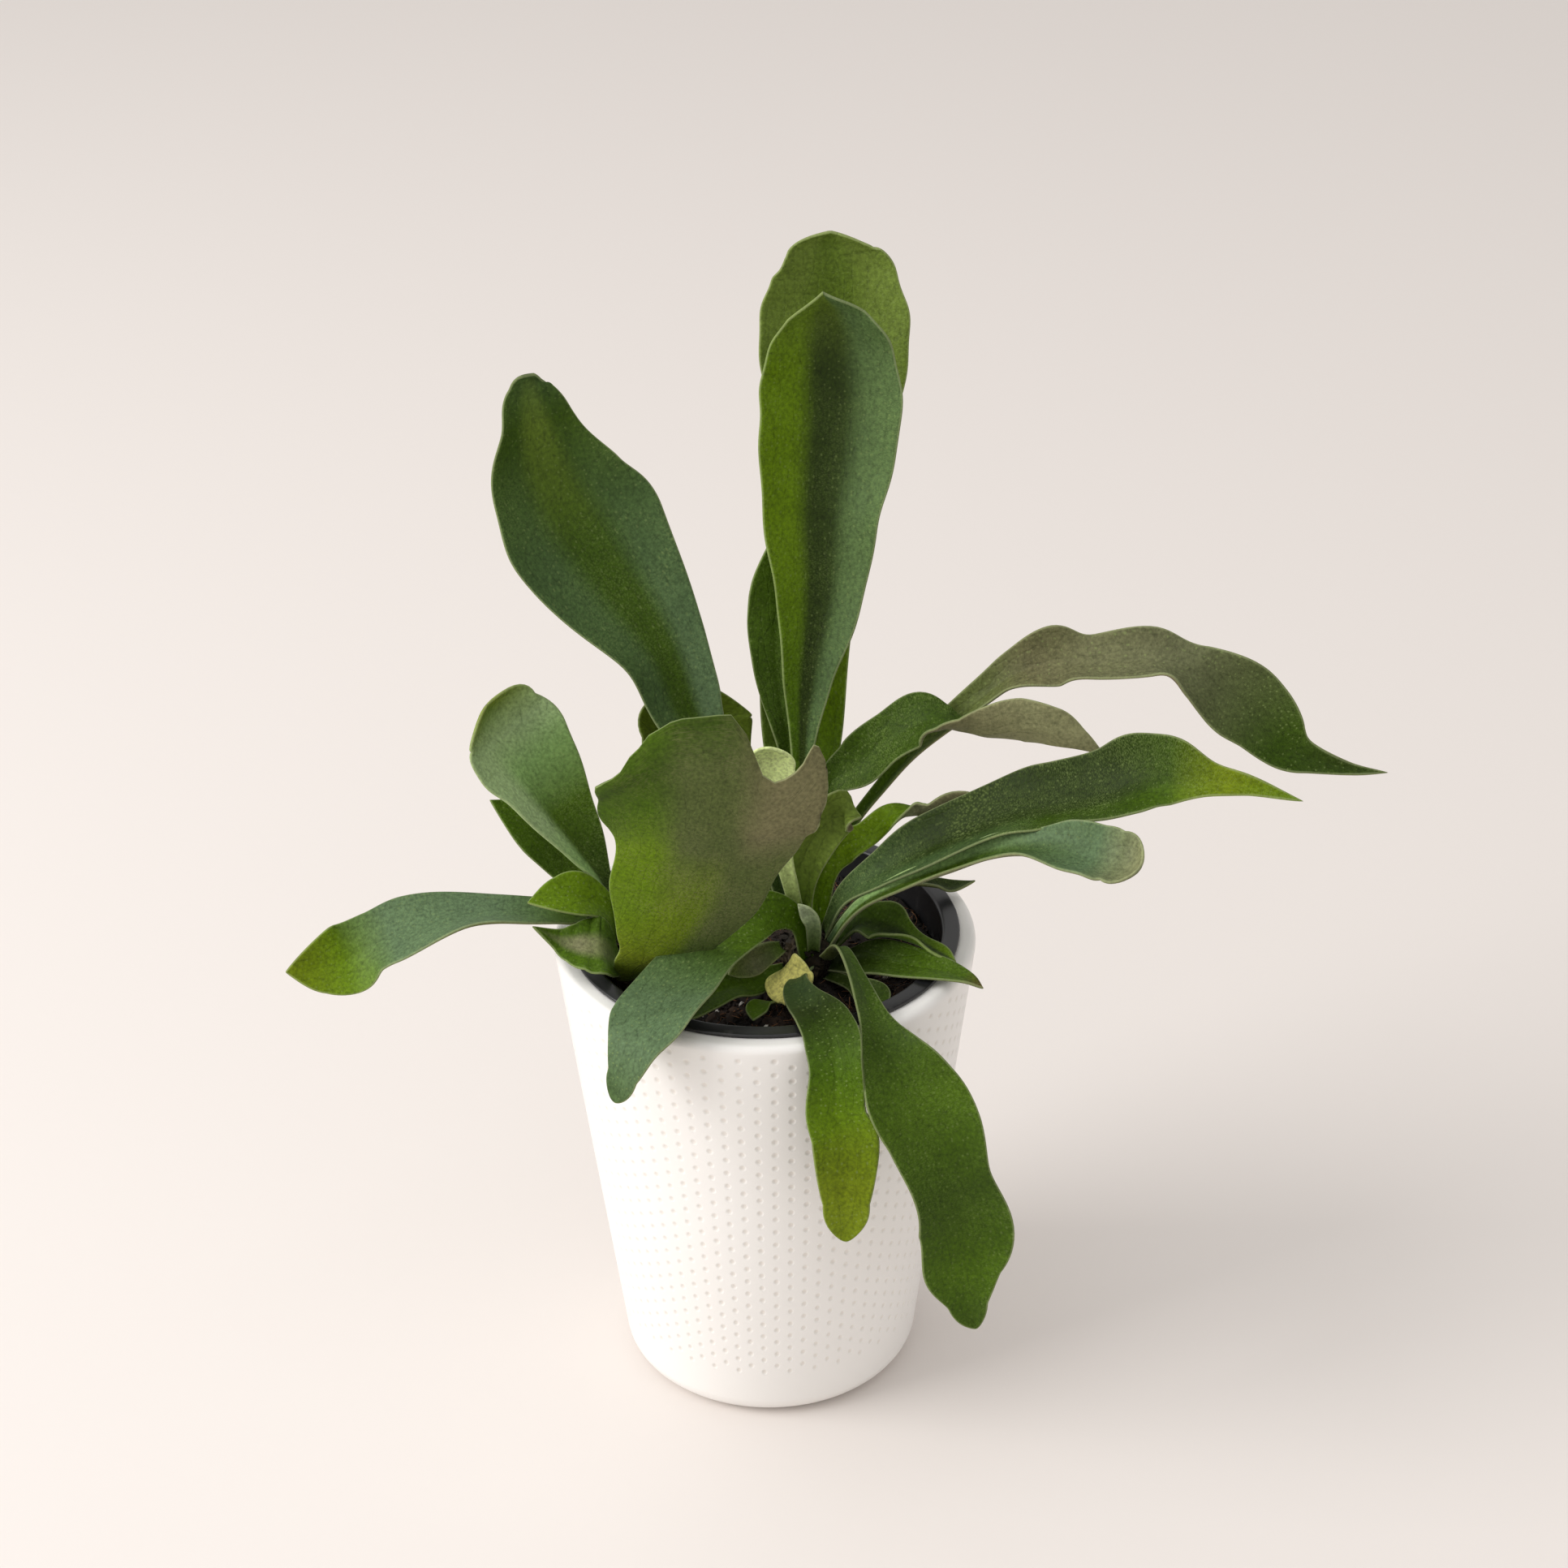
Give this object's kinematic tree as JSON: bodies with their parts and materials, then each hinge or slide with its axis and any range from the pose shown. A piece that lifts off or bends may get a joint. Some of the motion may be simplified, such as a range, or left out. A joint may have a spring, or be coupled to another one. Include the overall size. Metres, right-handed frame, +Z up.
{
  "type": "potted staghorn fern",
  "caption": "Staghorn fern with strap-shaped fronds, rooted in a black nursery pot that hangs inside a tapered white cover pot.",
  "frame": {"origin": "centre of the cover pot's foot, on the surface it stands on", "axes": "+Z up along the pots' axis, -Y towards the side where the two long fronds hang down, +X towards the longest arching frond"},
  "size_m": [0.3583, 0.1717, 0.3812],
  "materials": {
    "ceramic": "satin white with small dimples",
    "black_plastic": "satin black",
    "potting_mix": "damp bark and peat crumbs",
    "rhizome": "rough brown scales",
    "frond_dark": "satin leaf with fine white hairs",
    "frond_bright": "satin leaf with fine white hairs",
    "frond_silver": "felted grey-green leaf",
    "frond_old": "felted olive to tan leaf"
  },
  "bodies": {
    "root": {"cover_pot": "ceramic", "nursery_pot": "black_plastic", "potting_mix": "potting_mix", "rhizome_main": "rhizome", "rhizome_left": "rhizome", "frond_tall_front": "frond_dark", "frond_tall_back": "frond_dark", "frond_tall_middle": "frond_dark", "frond_upper_left": "frond_dark", "frond_back_left": "frond_old", "frond_front_broad": "frond_bright", "frond_front_arching": "frond_bright", "frond_front_long": "frond_dark", "frond_front_short": "frond_bright", "frond_right_long": "frond_bright", "frond_right_teal": "frond_silver", "frond_right_twist": "frond_silver", "frond_right_bright": "frond_bright", "frond_right_round": "frond_dark", "frond_right_rim": "frond_dark", "frond_right_folded": "frond_dark", "frond_right_low": "frond_dark", "frond_right_inner": "frond_dark", "frond_left_oval": "frond_silver", "frond_left_under": "frond_silver", "frond_left_small": "frond_bright", "frond_left_long": "frond_dark", "frond_left_low": "frond_dark", "frond_young_centre": "frond_silver", "frond_centre_olive": "frond_old", "frond_grey_curl": "frond_silver", "frond_under_arch": "frond_dark", "frond_yellow": "frond_old", "frond_wrinkled": "frond_silver", "frond_seedling": "frond_bright"}
  },
  "joints": []
}
